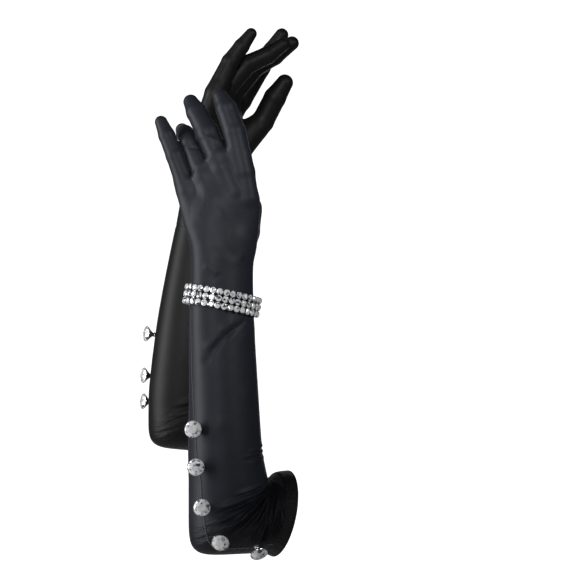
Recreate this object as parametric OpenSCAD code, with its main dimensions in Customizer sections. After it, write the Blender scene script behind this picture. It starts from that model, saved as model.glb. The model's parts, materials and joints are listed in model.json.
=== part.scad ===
// A pair of satin opera gloves, empty and standing as they are worn, with bent elbows.
// Each glove is drawn once in its own frame: the arm opening's centre is the origin, the
// sleeve runs along -X to the elbow and the forearm stands along +Z. -Y is the back of the hand.

/* [Sleeve] */
// Inner radius of the arm opening
cuff_r = 39.3; // [38:0.1:40]
// Width of the hem round the arm opening
hem_w = 12; // [8:1:14]
// Cloth thickness
cloth = 1.2; // [1:0.1:1.4]
// Height of the wrist above the arm opening
wrist_z = 236; // [234:1:238]
// Half width of the forearm at the wrist, seen from the back of the hand
wrist_a = 29; // [28:0.5:30]
// Half width of the forearm at the elbow
elbow_a = 36; // [35:0.5:36.5]

/* [Hand] */
// Half width of the hand across the knuckles
hand_a = 37; // [36:0.5:38]
// Radius of the middle finger
finger_r = 9; // [8.6:0.1:9.2]

/* [Buttons] */
// Diameter of a crystal button
button_d = 16.5; // [15:0.5:17]
// Height of a button's crystal above the cloth
button_rise = 8; // [7:0.5:9]

/* [Bracelet] */
// Stones round the bracelet
columns = 32; // [28:1:34]
// Rows of stones
rows = 3; // [2:1:3]
// Diameter of a stone
stone_d = 5.4; // [4.8:0.1:5.6]
// Distance between rows
row_pitch = 6.3; // [6:0.1:6.6]

/* [Hidden] */

LEFT = 0;
RIGHT = 1;

// Where each glove stands: both are turned 20 degrees about +Z, and the right one is a mirror
// image that stands behind, higher up and leaning a little.
turn = 20;
right_at = [-49, 215, 72];
right_lean = 7;

// The elbow's pivot, and the directions round it, in degrees from +X, where the forearm's and
// the sleeve's cloth end on the outside and on the inside of the bend.
elbow = [-52, 0, 2];
outer_from = 180;
outer_to = 285;
inner_forearm = 48;
inner_sleeve = 36;
joint_gap = 0.5;

// The rim leans by this angle, so that the sleeve is longer on top than below.
rim_tilt = 12.7;
rim_axis = [cos(rim_tilt), 0, -sin(rim_tilt)];
rim_up = [sin(rim_tilt), 0, cos(rim_tilt)];

// Half of the band of soft cloth at the wrist that the hand turns on.
wrist_half = 7;

// Fingers of each hand: knuckle, first joint, second joint, tip and radius.
fingers = [
    [
        [[-41, -12, 316], [-48, -7, 353], [-54, -1, 375], [-60, 8, 392], finger_r + 0.2],
        [[-57, -3, 320], [-69, 9, 353], [-76, 21, 373], [-80, 34, 388], finger_r],
        [[-72, 7, 312], [-82, 21, 344], [-80, 43, 354], [-78, 63, 361], finger_r - 0.5],
        [[-85, 17, 300], [-96, 23, 332], [-102, 29, 351], [-108, 35, 369], finger_r - 1.3]
    ],
    [
        [[-28, -22, 332], [-14, -15, 368], [-6, -10, 387], [4, -3, 411], finger_r + 0.2],
        [[-46, -6, 332], [-27, 3, 366], [-9, 10, 380], [11, 19, 400], finger_r],
        [[-60, 8, 332], [-39, 17, 366], [-21, 24, 378], [-3, 32, 395], finger_r - 0.5],
        [[-71, 21, 331], [-60, 24, 365], [-51, 27, 382], [-41, 32, 401], finger_r - 1.3]
    ]
];
// Thumbs: root inside the palm, knuckle, joint, tip and radius.
thumbs = [
    [[-32, 3, 262], [-25, 17, 286], [-26, 33, 309], [-30, 45, 327], finger_r + 1.2],
    [[-37, -9.5, 276], [-9, -2, 312], [-1, 5, 338], [9, 13, 362], finger_r + 1.2]
];
// The direction that the palm faces at the knuckles, as an angle from +X about +Z.
palm_turn = [56.6, 42];
// Sections of the hand from the wrist to the knuckles: centre, half width, half thickness
// and how far the section is turned about -Z.
hands = [
    [
        [[-57.4, -1, wrist_z + wrist_half], wrist_a + 0.5, 20, 10],
        [[-58.5, 0, 270], hand_a - 2, 17, 20],
        [[-60.5, 1, 292], hand_a + 0.5, 15.5, 28],
        [[-63.5, 2.5, 303.5], hand_a, 13.5, 33.4]
    ],
    [
        [[-57.4, -1, wrist_z + wrist_half], wrist_a + 0.5, 20, 10],
        [[-57.5, 0, 275], hand_a - 2, 17, 28],
        [[-55.5, 0, 302], hand_a + 0.5, 15.5, 40],
        [[-53, 0.5, 327], hand_a, 13.5, 48]
    ]
];
// Rise of the knuckle line from its middle to the index finger, and fall from back to palm.
knuckle_rise = [8, 0];
knuckle_fall = 2.6;

// Finger bends: how far a finger's cloth is cut back for a bend of this many degrees.
bend_palm = 45;
bend_back = 10;

// Heights of the buttons on each forearm.
forearm_button_z = [[82, 48, 12], [79, 36, 9]];
// The way that each forearm's buttons face, as an angle round the forearm.
button_face = [246, 176];
// How far the right glove's forearm fills out on the little finger's side.
ulnar_swell = [0, 6];
$swell = 0;

// The bracelet's oval, where its centre is and how far it slants.
oval_a = 34.3;
oval_b = 26.6;
bracelet_at = [-57.3, 0, 198];
bracelet_slant = 11.3;
band_t = 1;

cloth_colour = "#2b2d36";
seam_colour = "#24262e";
metal_colour = "#c9ccd2";
stone_colour = "#eef2f8";

// ---- vector helpers ----
function unit(v) = v / norm(v);
function mix(a, b, t) = a + (b - a) * t;
function span(a, b, n) = [for (i = [0:n]) mix(a, b, i / n)];
function smooth(t) = t <= 0 ? 0 : t >= 1 ? 1 : t * t * (3 - 2 * t);
// Value at x of the straight lines through [x, value] points in a rising list.
function table(points, x, i = 0) =
    x <= points[0][0] ? points[0][1] :
    i == len(points) - 1 ? points[i][1] :
    x <= points[i + 1][0]
        ? mix(points[i][1], points[i + 1][1], (x - points[i][0]) / (points[i + 1][0] - points[i][0]))
        : table(points, x, i + 1);

// Oval ring: centre, two half axes and the angles of its points.
function ring(c, u, v, angles) = [for (p = angles) c + cos(p) * u + sin(p) * v];
function around(n) = [for (i = [0:n - 1]) 360 * i / n];

// ---- cloth shells ----
// Faces between two grids of points, an outer and an inner one, written as rings that go up.
function quad(a, b, c, d) = [[a, b, c], [a, c, d]];
function grid_faces(n, m, wrap, base, flip) = [
    for (i = [0:n - 2], j = [0:m - (wrap ? 1 : 2)])
        let (k = (j + 1) % m,
             a = base + i * m + j, b = base + (i + 1) * m + j,
             c = base + (i + 1) * m + k, d = base + i * m + k)
        for (f = flip ? quad(a, d, c, b) : quad(a, b, c, d)) f
];

// A shell between outer and inner rings. wrap closes it round; tips = [outer, inner] closes its far
// end with two points, otherwise both ends are open rims.
module shell(outer, inner, wrap = true, tips = []) {
    n = len(outer);
    m = len(outer[0]);
    size = n * m;
    last = (n - 1) * m;
    points = concat([for (r = outer, p = r) p], [for (r = inner, p = r) p], tips);
    first_rim = [for (j = [0:m - (wrap ? 1 : 2)])
        let (k = (j + 1) % m) for (f = quad(j, k, size + k, size + j)) f];
    last_rim = len(tips) > 0 ? [for (j = [0:m - 1])
            let (k = (j + 1) % m, a = last + j, b = last + k)
            for (f = [[a, 2 * size, b], [size + a, size + b, 2 * size + 1]]) f] :
        [for (j = [0:m - (wrap ? 1 : 2)])
            let (k = (j + 1) % m, a = last + j, b = last + k)
            for (f = quad(a, size + a, size + b, b)) f];
    edges = wrap ? [] : [for (i = [0:n - 2])
        let (a = i * m, b = (i + 1) * m, c = a + m - 1, d = b + m - 1)
        for (f = concat(quad(a, size + a, size + b, b), quad(c, d, size + d, size + c))) f];
    polyhedron(points, concat(
        grid_faces(n, m, wrap, 0, false), grid_faces(n, m, wrap, size, true),
        first_rim, last_rim, edges
    ), convexity = 8);
}

// ---- forearm ----
function forearm_centre(z) = [table([[0, -53], [60, -54.5], [190, -58], [240, -57.5]], z), 0, z];
function forearm_a(z) = table([[0, elbow_a], [60, elbow_a - 1.5], [110, elbow_a - 3.6], [wrist_z, wrist_a]], z);
function forearm_b(z) = table([[0, elbow_a - 2], [60, elbow_a - 3.5], [110, 29], [wrist_z, 20.5]], z);
function forearm_point(z, phi, inset) =
    let (a = forearm_a(z) - inset, b = forearm_b(z) - inset)
    forearm_centre(z) + [a * cos(phi), b * sin(phi), 0]
        + [$swell * table([[2, 0.4], [90, 1], [200, 0]], z) * min(0, cos(phi)), 0, 0];

// Lowest height of the forearm's cloth at an angle: level outside, rising to the crook inside.
function forearm_end(phi) =
    let (x = forearm_point(elbow.z, phi, 0).x - elbow.x)
    elbow.z + joint_gap + (x > 0 ? x * tan(inner_forearm) : 0);

// The side seam's angle: straight up the little finger's side, and forward towards the elbow.
function seam_angle(z) = table([[2, 220], [12, 217], [48, 206], [82, 199], [130, 190]], z);

// A stretch of forearm cloth: angles at the elbow and above it, from the elbow's end to z_top.
function forearm_grid(from, to, z_top, inset, sides) = [
    for (t = span(0, 1, 11)) [
        for (s = span(0, 1, sides))
            let (low = mix(from(elbow.z), to(elbow.z), s),
                 z = mix(forearm_end(low), z_top, t),
                 phi = mix(from(z), to(z), s))
            forearm_point(z, phi, inset)
    ]
];
module forearm_panel(from, to, sides) {
    top = wrist_z - wrist_half;
    shell(forearm_grid(from, to, top, 0, sides), forearm_grid(from, to, top, cloth, sides), wrap = false);
}

// Tape under the buttons: a narrow strip just outside the seam.
module forearm_tape() {
    half = 4.5;
    top = 92;
    from = function(z) seam_angle(z) - half;
    to = function(z) seam_angle(z) + half;
    shell(forearm_grid(from, to, top, -0.9, 2), forearm_grid(from, to, top, -0.15, 2), wrap = false);
}

// ---- wrist ----
module wrist_cloth(side) {
    low = wrist_z - wrist_half + joint_gap;
    hand = hands[side][0];
    angles = around(24);
    bottom = function(inset) ring(forearm_centre(low), [forearm_a(low) - inset, 0, 0],
        [0, forearm_b(low) - inset, 0], angles);
    top = function(inset) hand_ring([hand[0] - [0, 0, joint_gap], hand[1], hand[2], hand[3]], inset, angles);
    middle = function(inset) (bottom(inset) + top(inset)) / 2;
    shell([bottom(0), middle(0), top(0)], [bottom(cloth), middle(cloth), top(cloth)]);
}

// ---- hand ----
// rise lifts the index side of a section, and fall lowers its palm side.
function hand_ring(section, inset, angles, rise = 0, fall = 0) =
    let (a = section[1] - inset, b = section[2] - inset, g = section[3])
    ring(section[0], [a * cos(g), -a * sin(g), rise], [b * sin(g), b * cos(g), -fall], angles);
// Sections between the named ones, by straight lines.
function hand_section(side, t) =
    let (list = hands[side], k = min(floor(t * 3), 2), f = t * 3 - k, p = list[k], q = list[k + 1])
    [mix(p[0], q[0], f), mix(p[1], q[1], f), mix(p[2], q[2], f), mix(p[3], q[3], f)];
function hand_grid(side, angles, inset) = [
    for (t = span(0, 1, 9)) hand_ring(hand_section(side, t), inset, angles,
        knuckle_rise[side] * smooth((t - 0.3) / 0.7), knuckle_fall * smooth((t - 0.6) / 0.4))
];
module hand_panel(side, from, to) {
    angles = span(from, to, 14);
    shell(hand_grid(side, angles, 0), hand_grid(side, angles, cloth), wrap = false);
}
module hand_palm(side) {
    root = thumbs[side][0];
    difference() {
        hand_panel(side, 0, 188);
        along(root, thumbs[side][1]) translate([0, 0, -12]) cylinder(r = 9, h = 30, $fn = 24);
    }
}

// Stands its children up along the line from one point to another.
module along(a, b) {
    d = unit(b - a);
    translate(a) rotate([0, acos(d.z), atan2(d.y, d.x)]) children();
}

// ---- fingers ----
// The palm's direction at the knuckles, made square to a finger's run.
function palm_dir(side, d) =
    let (n = [cos(palm_turn[side]), sin(palm_turn[side]), 0])
    unit(n - (n * d) * d);
// A finger's section: centre, run, half width, half thickness. palm and back slope its two sides
// along the run.
function finger_ring(side, c, d, a, b, angles, palm = 0, back = 0) =
    let (v = palm_dir(side, d), u = cross(v, d))
    [for (p = angles) c + a * cos(p) * u + b * sin(p) * v
        + d * (sin(p) > 0 ? palm * sin(p) : -back * sin(p))];
// The same section cut back for the finger's joint: by its slopes or by the plane halfway between
// the two runs, whichever cuts more. way is -1 below the joint and 1 above it.
function joint_ring(side, c, d, other, r, angles, way) =
    let (v = palm_dir(side, d), u = cross(v, d), m = unit(d + other))
    [for (p = angles)
        let (q = r * cos(p) * u + r * sin(p) * v,
             slope = (sin(p) > 0 ? notch_palm : -notch_back) * sin(p))
        c + q + way * max(slope, -way * (q * m) / (d * m)) * d];
notch_palm = finger_r * tan(bend_palm / 2);
notch_back = finger_r * tan(bend_back / 2);

module finger_base(side, f, widen = 1.1) {
    d = unit(f[1] - f[0]);
    next = unit(f[2] - f[1]);
    angles = around(14);
    start = f[0] + 3 * d;
    end = f[1] - joint_gap * d;
    rings = function(inset) [
        finger_ring(side, start, d, f[4] - 0.8 - inset, f[4] * widen - inset, angles),
        finger_ring(side, mix(start, end, 0.35), d, f[4] - 0.3 - inset, f[4] * 1.04 - inset, angles),
        finger_ring(side, mix(start, end, 0.7), d, f[4] - inset, f[4] - inset, angles,
            -notch_palm * 0.5, -notch_back * 0.5),
        joint_ring(side, end, d, next, f[4] - inset, angles, -1)
    ];
    shell(rings(0), rings(cloth));
}

module finger_tip(side, f) {
    before = unit(f[1] - f[0]);
    d1 = unit(f[2] - f[1]);
    d2 = unit(f[3] - f[2]);
    dm = unit(d1 + d2);
    r = f[4];
    angles = around(14);
    start = f[1] + joint_gap * d1;
    rings = function(inset) [
        joint_ring(side, start, d1, before, r - inset, angles, 1),
        finger_ring(side, mix(f[1], f[2], 0.6), d1, r * 0.97 - inset, r * 0.97 - inset, angles),
        finger_ring(side, f[2], dm, r * 0.94 - inset, r * 0.94 - inset, angles),
        finger_ring(side, mix(f[2], f[3], 0.45), d2, r * 0.9 - inset, r * 0.88 - inset, angles),
        finger_ring(side, f[3] - 0.5 * r * d2, d2, r * 0.8 - inset, r * 0.76 - inset, angles),
        finger_ring(side, f[3] - (0.12 * r + inset) * d2, d2, r * 0.52 - 0.6 * inset,
            r * 0.48 - 0.6 * inset, angles)
    ];
    shell(rings(0), rings(cloth), tips = [f[3], f[3] - 1.3 * cloth * d2]);
}

// The thumb's gusset is a short sleeve from the palm to the thumb's knuckle.
function thumb_run(side) = unit(thumbs[side][1] - thumbs[side][0]);
module thumb_gusset(side) {
    t = thumbs[side];
    d = thumb_run(side);
    angles = around(16);
    start = t[0] + [0, 0, 4];
    end = t[1] - (joint_gap + 1) * d;
    rings = function(inset) [
        finger_ring(side, start, d, t[4] + 1.5 - inset, t[4] + 0.5 - inset, angles),
        finger_ring(side, mix(start, end, 0.5), d, t[4] + 1 - inset, t[4] + 0.3 - inset, angles),
        finger_ring(side, end, d, t[4] + 0.4 - inset, t[4] - inset, angles,
            -0.8 * notch_palm, -2 * notch_back)
    ];
    shell(rings(0), rings(cloth));
}
// The thumb itself is two finger pieces that start at its knuckle.
function thumb_chain(side) =
    let (t = thumbs[side], d = unit(t[2] - t[1]))
    [t[1] - 1.2 * d, t[2], mix(t[2], t[3], 0.5), t[3], t[4]];
module thumb_base(side) finger_base(side, thumb_chain(side), widen = 1);
module thumb_tip(side) finger_tip(side, thumb_chain(side));

// ---- sleeve above the elbow ----
// psi runs round the sleeve: 0 is +Y, 90 is the top and 180 the back of the glove.
// Half width and half height of the sleeve beside the elbow.
sleeve_w = elbow_a;
sleeve_h = elbow_a - 1;
function sleeve_end(psi, inset) =
    let (z = -0.5 + (sleeve_h - inset) * sin(psi), rise = z - elbow.z,
         x = elbow.x + joint_gap + (rise > 0 ? rise / tan(inner_sleeve) : -rise * tan(outer_to - 270)))
    [x, (sleeve_w - inset) * cos(psi), z];
function sleeve_rim(psi, inset) =
    let (r = cuff_r + cloth - inset)
    -hem_w * rim_axis + r * cos(psi) * [0, 1, 0] + r * sin(psi) * rim_up;
// The seam's angle on the sleeve, which meets the forearm's seam round the elbow.
function sleeve_seam(t) = mix(226, 230, t);
module sleeve_panel(from, to) {
    grid = function(inset) [for (t = span(0, 1, 5)) [for (s = span(0, 1, 14))
        let (psi = mix(from(t), to(t), s)) mix(sleeve_end(psi, inset), sleeve_rim(psi, inset), t)]];
    shell(grid(0), grid(cloth), wrap = false);
}
module hem() {
    rotate([0, 90 + rim_tilt, 0]) translate([0, 0, -hem_w])
        difference() {
            cylinder(r = cuff_r + cloth, h = hem_w, $fn = 96);
            translate([0, 0, -1]) cylinder(r = cuff_r, h = hem_w + 2, $fn = 96);
        }
}

// ---- elbow ----
// The slack cloth outside the bend: each thread turns about the pivot from the forearm's end to
// the sleeve's end and bulges on the way.
function elbow_point(phi, s, inset) =
    let (a = forearm_point(elbow.z, phi, inset), b = sleeve_end(90 - phi, inset),
         from = norm([a.x - elbow.x, 0]), to = norm([b.x - elbow.x, b.z - elbow.z]),
         swell = 1 + 0.13 * pow(sin(180 * pow(s, 0.8)), 2),
         turned = mix(outer_from + 0.9, outer_to - 0.9, s), r = mix(from, to, s) * swell)
    [elbow.x + r * cos(turned), mix(a.y, b.y, s), elbow.z + r * sin(turned)];
module elbow_cloth() {
    grid = function(inset) [for (s = span(0, 1, 9)) [for (phi = span(258, 102, 14)) elbow_point(phi, s, inset)]];
    shell(grid(0), grid(cloth), wrap = false);
}

// ---- buttons ----
// A faceted crystal, drawn up from its base along +Z, and the cup and shank that carry it.
module crystal() {
    r = button_d / 2 - 0.8;
    rotate_extrude($fn = 32)
        polygon([[0, 0.4], [r * 0.62, 0.4], [r, 2], [r, 2.8], [r * 0.6, 4.6], [0, 4.6]]);
}
module cup() {
    r = button_d / 2;
    shank = button_rise - 1.2;
    rotate_extrude($fn = 32)
        polygon([[0, -shank], [1.4, -shank], [1.4, -0.8], [r * 0.6, -0.8], [r, 1.6], [r, 2.6],
            [r - 0.75, 2.6], [r - 0.75, 1.7], [r * 0.56, 0.35], [0, 0.35]]);
}
// Puts its children on the cloth at a point, standing off along a direction.
module button_at(p, d) along(p + button_rise * d, p + (button_rise + 1) * d) children();
function forearm_out(z, phi) = unit([cos(phi) / forearm_a(z), sin(phi) / forearm_b(z), 0]);
module forearm_buttons(side) {
    for (z = forearm_button_z[side])
        button_at(forearm_point(z, seam_angle(z), -1), forearm_out(z, button_face[side]))
            children();
}
// One button sits on the elbow's slack cloth and one beside the hem.
module elbow_button() button_at([-68, -28.5, -16], unit([-0.34, -0.87, -0.35])) children();
module cuff_button() button_at([-34, -28, -24.5], unit([0, -0.72, -0.69])) children();

// ---- bracelet ----
oval_length = PI * (3 * (oval_a + oval_b) - sqrt((3 * oval_a + oval_b) * (oval_a + 3 * oval_b)));
// Angle of the next point at an equal step along the oval, by the midpoint rule.
function oval_speed(p) = norm([oval_a * sin(p), oval_b * cos(p)]);
function oval_next(p, step) =
    let (half = p + 0.5 * step / oval_speed(p) * 180 / PI)
    p + step / oval_speed(half) * 180 / PI;
function oval_angle(k) = k == 0 ? 0 : oval_next(oval_angle(k - 1), oval_length / columns);
module on_wrist() translate(bracelet_at) rotate([0, bracelet_slant, 0]) children();
module band() {
    h = row_pitch * rows;
    on_wrist() translate([0, 0, -h / 2]) linear_extrude(h) difference() {
        polygon([for (p = around(64)) [oval_a * cos(p), oval_b * sin(p)]]);
        polygon([for (p = around(64)) [(oval_a - band_t) * cos(p), (oval_b - band_t) * sin(p)]]);
    }
}
module stones() {
    on_wrist() for (k = [0:columns - 1], row = [0:rows - 1]) {
        p = oval_angle(k);
        out = atan2(sin(p) / oval_b, cos(p) / oval_a);
        translate([oval_a * cos(p), oval_b * sin(p), (row - (rows - 1) / 2) * row_pitch])
            rotate([0, 90, out]) cylinder(d = stone_d, h = 2.2, $fn = 8);
    }
}

// ---- the two gloves ----
// $swell reaches the forearm's functions through the children.
module place(side) {
    $swell = ulnar_swell[side];
    if (side == LEFT)
        rotate([0, 0, turn]) children();
    else
        translate(right_at) rotate([0, right_lean, 0]) rotate([0, 0, turn]) mirror([0, 1, 0]) children();
}
seam_side = function(z) seam_angle(z);
fold_start = function(z) 0;
fold_end = function(z) 360;

module glove_hem(side) color(seam_colour) place(side) hem();
module glove_sleeve_back(side) color(cloth_colour) place(side)
    sleeve_panel(function(t) 90, function(t) sleeve_seam(t));
module glove_sleeve_palm(side) color(cloth_colour) place(side)
    sleeve_panel(function(t) sleeve_seam(t) - 360, function(t) 90);
module glove_elbow_fabric(side) color(cloth_colour) place(side) elbow_cloth();
module glove_forearm_back(side) color(cloth_colour) place(side) forearm_panel(seam_side, fold_end, 12);
module glove_forearm_palm(side) color(cloth_colour) place(side) forearm_panel(fold_start, seam_side, 14);
module glove_button_tape(side) color(seam_colour) place(side) forearm_tape();
module glove_wrist_fabric(side) color(cloth_colour) place(side) wrist_cloth(side);
module glove_hand_back(side) color(cloth_colour) place(side) hand_panel(side, 188, 360);
module glove_hand_palm(side) color(cloth_colour) place(side) hand_palm(side);
module glove_thumb_gusset(side) color(cloth_colour) place(side) thumb_gusset(side);
module glove_thumb_base(side) color(cloth_colour) place(side) thumb_base(side);
module glove_thumb_tip(side) color(cloth_colour) place(side) thumb_tip(side);
module glove_finger_base(side, k) color(cloth_colour) place(side) finger_base(side, fingers[side][k]);
module glove_finger_tip(side, k) color(cloth_colour) place(side) finger_tip(side, fingers[side][k]);
module glove_forearm_crystals(side) color(stone_colour) place(side) forearm_buttons(side) crystal();
module glove_forearm_cups(side) color(metal_colour) place(side) forearm_buttons(side) cup();
module glove_elbow_crystal(side) color(stone_colour) place(side) elbow_button() crystal();
module glove_elbow_cup(side) color(metal_colour) place(side) elbow_button() cup();
module glove_cuff_crystal(side) color(stone_colour) place(side) cuff_button() crystal();
module glove_cuff_cup(side) color(metal_colour) place(side) cuff_button() cup();
module bracelet_band() color(metal_colour) place(LEFT) band();
module bracelet_stones() color(stone_colour) place(LEFT) stones();

glove_hem(LEFT);  // left_hem
glove_sleeve_back(LEFT);  // left_sleeve_back
glove_sleeve_palm(LEFT);  // left_sleeve_palm
glove_elbow_fabric(LEFT);  // left_elbow_fabric
glove_forearm_back(LEFT);  // left_forearm_back
glove_forearm_palm(LEFT);  // left_forearm_palm
glove_button_tape(LEFT);  // left_button_tape
glove_wrist_fabric(LEFT);  // left_wrist_fabric
glove_hand_back(LEFT);  // left_hand_back
glove_hand_palm(LEFT);  // left_hand_palm
glove_thumb_gusset(LEFT);  // left_thumb_gusset
glove_thumb_base(LEFT);  // left_thumb_base
glove_thumb_tip(LEFT);  // left_thumb_tip
glove_finger_base(LEFT, 0);  // left_index_base
glove_finger_tip(LEFT, 0);  // left_index_tip
glove_finger_base(LEFT, 1);  // left_middle_base
glove_finger_tip(LEFT, 1);  // left_middle_tip
glove_finger_base(LEFT, 2);  // left_ring_base
glove_finger_tip(LEFT, 2);  // left_ring_tip
glove_finger_base(LEFT, 3);  // left_little_base
glove_finger_tip(LEFT, 3);  // left_little_tip
glove_forearm_crystals(LEFT);  // left_forearm_crystals
glove_forearm_cups(LEFT);  // left_forearm_cups
glove_elbow_crystal(LEFT);  // left_elbow_crystal
glove_elbow_cup(LEFT);  // left_elbow_cup
glove_cuff_crystal(LEFT);  // left_cuff_crystal
glove_cuff_cup(LEFT);  // left_cuff_cup
bracelet_band();
bracelet_stones();
glove_hem(RIGHT);  // right_hem
glove_sleeve_back(RIGHT);  // right_sleeve_back
glove_sleeve_palm(RIGHT);  // right_sleeve_palm
glove_elbow_fabric(RIGHT);  // right_elbow_fabric
glove_forearm_back(RIGHT);  // right_forearm_back
glove_forearm_palm(RIGHT);  // right_forearm_palm
glove_button_tape(RIGHT);  // right_button_tape
glove_wrist_fabric(RIGHT);  // right_wrist_fabric
glove_hand_back(RIGHT);  // right_hand_back
glove_hand_palm(RIGHT);  // right_hand_palm
glove_thumb_gusset(RIGHT);  // right_thumb_gusset
glove_thumb_base(RIGHT);  // right_thumb_base
glove_thumb_tip(RIGHT);  // right_thumb_tip
glove_finger_base(RIGHT, 0);  // right_index_base
glove_finger_tip(RIGHT, 0);  // right_index_tip
glove_finger_base(RIGHT, 1);  // right_middle_base
glove_finger_tip(RIGHT, 1);  // right_middle_tip
glove_finger_base(RIGHT, 2);  // right_ring_base
glove_finger_tip(RIGHT, 2);  // right_ring_tip
glove_finger_base(RIGHT, 3);  // right_little_base
glove_finger_tip(RIGHT, 3);  // right_little_tip
glove_forearm_crystals(RIGHT);  // right_forearm_crystals
glove_forearm_cups(RIGHT);  // right_forearm_cups
glove_elbow_crystal(RIGHT);  // right_elbow_crystal
glove_elbow_cup(RIGHT);  // right_elbow_cup
glove_cuff_crystal(RIGHT);  // right_cuff_crystal
glove_cuff_cup(RIGHT);  // right_cuff_cup
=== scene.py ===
"""A pair of satin opera gloves with crystal buttons and a three-row bracelet.

Lengths are millimetres in one glove's own frame, and become metres in the row frame when a mesh is
made. In the glove's frame the arm opening's centre is the origin, the sleeve runs along -X to the
elbow, the forearm stands along +Z and -Y is the back of the hand.
"""
import json
import math

import bmesh
import bpy
import numpy as np
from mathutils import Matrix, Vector

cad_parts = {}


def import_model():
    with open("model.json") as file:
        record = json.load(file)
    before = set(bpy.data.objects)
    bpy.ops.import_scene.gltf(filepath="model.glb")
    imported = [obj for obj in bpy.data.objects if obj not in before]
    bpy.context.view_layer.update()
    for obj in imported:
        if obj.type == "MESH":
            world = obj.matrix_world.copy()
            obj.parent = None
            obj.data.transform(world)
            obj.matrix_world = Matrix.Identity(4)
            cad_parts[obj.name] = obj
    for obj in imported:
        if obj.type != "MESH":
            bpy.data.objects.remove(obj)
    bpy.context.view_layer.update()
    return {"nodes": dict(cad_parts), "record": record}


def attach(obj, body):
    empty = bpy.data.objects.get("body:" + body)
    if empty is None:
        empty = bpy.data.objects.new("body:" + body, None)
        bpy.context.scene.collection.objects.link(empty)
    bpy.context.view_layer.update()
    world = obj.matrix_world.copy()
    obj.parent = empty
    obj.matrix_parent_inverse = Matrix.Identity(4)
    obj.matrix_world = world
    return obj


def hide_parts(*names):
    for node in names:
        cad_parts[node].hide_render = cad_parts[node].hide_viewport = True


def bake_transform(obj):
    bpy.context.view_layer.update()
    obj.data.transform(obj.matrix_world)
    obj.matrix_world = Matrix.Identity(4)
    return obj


SIDES = ("left", "right")
FINGERS = ("index", "middle", "ring", "little")
# Cloth thickness.
CLOTH = 0.9
# The arm opening: how far its axis leans from +X, its radius, and the hem's width and narrowing.
RIM_TILT = math.radians(12.7)
RIM_R = 39.3
HEM_W = 12.0
HEM_TAPER = 3.4
# The elbow's rings fan out round the crook (x, z) between two angles and start a little outside it.
CROOK = np.array([-13.0, 33.0])
CROOK_R = 1.5
FAN_FROM, FAN_TO = 180.0, 257.3
# The elbow's outside is a box (width, height) round the crook; a higher power is a squarer corner.
ELBOW_BOX = (75.5, 68.5)
ELBOW_POWER = 9.0
# Half depth of the elbow at the forearm and at the sleeve.
ELBOW_DEPTH = (33.5, 35.0)
# Seam angle at the forearm's end and at the sleeve's end of the elbow.
ELBOW_SEAM = (211, 221)
# Columns of points round the arm's back half.
BACK_COLUMNS = 84
# Heights where the hand's cloth starts and the forearm's ends; the bracelet hides the overlap.
HAND_FROM = 194.0
CUFF_TOP = 206.0


# ---- small helpers ----
def unit(v):
    """The vector or vectors v at length 1."""
    v = np.asarray(v, float)
    return v / np.linalg.norm(v, axis=-1, keepdims=True)


def mix(a, b, t):
    """a at t = 0 and b at t = 1."""
    return a + (b - a) * t


def smooth(t):
    """0 below 0, 1 above 1, and a smooth step between."""
    t = np.clip(t, 0, 1)
    return t * t * (3 - 2 * t)


def curve(x, knots):
    """A smooth curve through rows (x, value, ...), with no overshoot at a turn."""
    k = np.array(knots, float)
    h = np.diff(k[:, 0])[:, None]
    s = np.diff(k[:, 1:], axis=0) / h
    m = np.zeros_like(k[:, 1:])
    same = s[:-1] * s[1:] > 0
    m[1:-1] = np.where(same, 2 * s[:-1] * s[1:] / np.where(same, s[:-1] + s[1:], 1), 0)
    m[0], m[-1] = s[0], s[-1]
    x = np.clip(x, k[0, 0], k[-1, 0])
    i = np.clip(np.searchsorted(k[:, 0], x, side="right") - 1, 0, len(h) - 1)
    t = ((x - k[i, 0]) / h[i, 0])[..., None]
    a, b, w = k[i, 1:], k[i + 1, 1:], h[i]
    return ((1 + 2 * t) * (1 - t) ** 2 * a + t * (1 - t) ** 2 * w * m[i]
            + t * t * (3 - 2 * t) * b + t * t * (t - 1) * w * m[i + 1])


def linear(hex_colour):
    """An sRGB hex colour as linear RGBA."""
    c = np.array([int(hex_colour[i:i + 2], 16) for i in (1, 3, 5)]) / 255
    c = np.where(c <= 0.04045, c / 12.92, ((c + 0.055) / 1.055) ** 2.4)
    return (*c.tolist(), 1.0)


# ---- where each glove stands ----
class Stand:
    """One glove's frame in the row, from the record's mount and elbow joint."""

    def __init__(self, record, side):
        joints = {j["name"]: j for j in record["behaviour"]["joints"]}
        mount = {m["name"]: m for m in record["mounts"]}[side + "_arm_opening"]
        hand = 1 if side == "left" else -1
        out = unit(mount["axis"])
        self.y = hand * unit(joints[side + "_elbow"]["axis"])
        up = -hand * np.cross(self.y, out)
        self.x = math.cos(RIM_TILT) * out + math.sin(RIM_TILT) * up
        self.z = -math.sin(RIM_TILT) * out + math.cos(RIM_TILT) * up
        self.origin = np.array(mount["pos_m"])
        self.mirrored = side == "right"

    def turn(self, v):
        """Directions in the row frame."""
        return v[..., :1] * self.x + v[..., 1:2] * self.y + v[..., 2:3] * self.z

    def place(self, p):
        """Points in the row frame, in metres."""
        return self.origin + 0.001 * self.turn(np.asarray(p, float))

    def back(self, p):
        """Row points in metres as points of the glove's own frame."""
        q = (np.asarray(p) - self.origin) * 1000
        return np.stack([q @ self.x, q @ self.y, q @ self.z], -1)


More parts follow.
